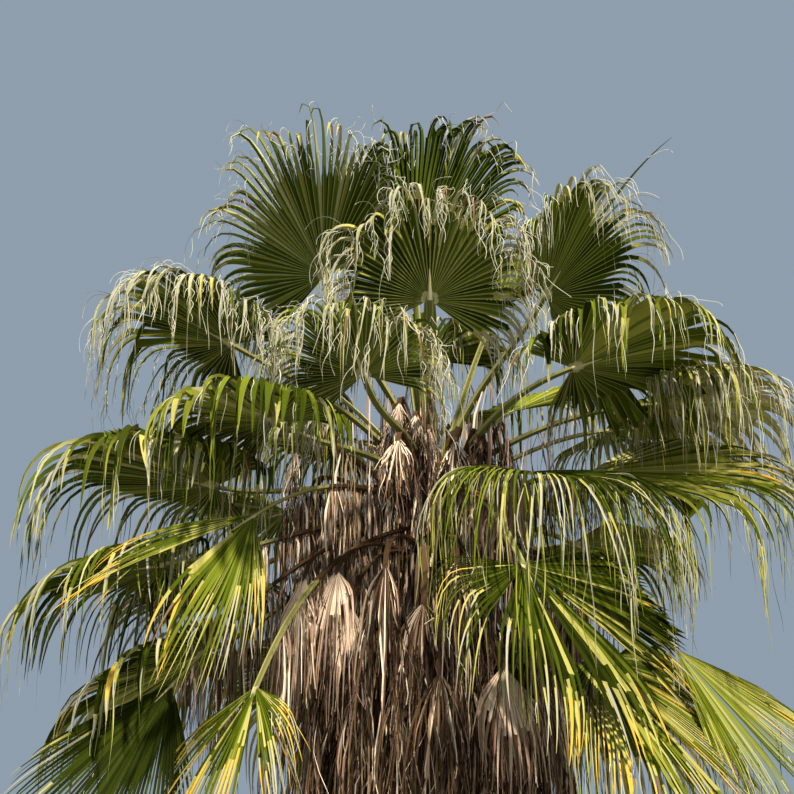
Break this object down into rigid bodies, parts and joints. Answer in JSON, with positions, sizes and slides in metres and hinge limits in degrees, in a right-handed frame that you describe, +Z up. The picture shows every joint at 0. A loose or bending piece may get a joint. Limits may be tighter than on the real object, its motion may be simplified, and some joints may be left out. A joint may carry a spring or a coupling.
{
  "type": "fan palm, whole tree",
  "caption": "Tall fan palm: straight ringed trunk with a flared foot, a full round crown of drooping green fans on arching stalks, and a skirt of dry hanging fronds.",
  "frame": {"origin": "middle of the flat cut under the trunk, at ground level", "axes": "+Z is straight up along the trunk to the spear leaf; -Y is the side that faces the viewer of the picture; +X is to that viewer's right"},
  "size_m": [5.4896, 4.5932, 8.8551],
  "materials": {
    "trunk_bark": "rough, dry, ringed with old leaf scars and fine upright cracks",
    "green_leaf": "leathery, pleated, satin on its folds, some sun shining through",
    "dead_leaf": "dry, dull, papery, frayed at its tips"
  },
  "bodies": {
    "root": {"trunk": "trunk_bark", "spear_leaf": "green_leaf", "frond_01": "green_leaf", "frond_02": "green_leaf", "frond_03": "green_leaf", "frond_04": "green_leaf", "frond_05": "green_leaf", "frond_06": "green_leaf", "frond_07": "green_leaf", "frond_08": "green_leaf", "frond_09": "green_leaf", "frond_10": "green_leaf", "frond_11": "green_leaf", "frond_12": "green_leaf", "frond_13": "green_leaf", "frond_14": "green_leaf", "frond_15": "green_leaf", "frond_16": "green_leaf", "frond_17": "green_leaf", "frond_18": "green_leaf", "frond_19": "green_leaf", "frond_20": "green_leaf", "frond_21": "green_leaf", "frond_22": "green_leaf", "frond_23": "green_leaf", "frond_24": "green_leaf", "frond_25": "green_leaf", "frond_26": "green_leaf", "frond_27": "green_leaf", "frond_28": "green_leaf", "frond_29": "green_leaf", "frond_30": "green_leaf", "frond_31": "green_leaf", "frond_32": "green_leaf", "frond_33": "green_leaf", "frond_34": "green_leaf", "frond_35": "green_leaf", "frond_36": "green_leaf", "frond_37": "green_leaf", "skirt_01": "dead_leaf", "skirt_02": "dead_leaf", "skirt_03": "dead_leaf", "skirt_04": "dead_leaf", "skirt_05": "dead_leaf", "skirt_06": "dead_leaf", "skirt_07": "dead_leaf", "skirt_08": "dead_leaf", "skirt_09": "dead_leaf", "skirt_10": "dead_leaf", "skirt_11": "dead_leaf", "skirt_12": "dead_leaf", "skirt_13": "dead_leaf", "skirt_14": "dead_leaf", "skirt_15": "dead_leaf", "skirt_16": "dead_leaf"}
  },
  "joints": []
}
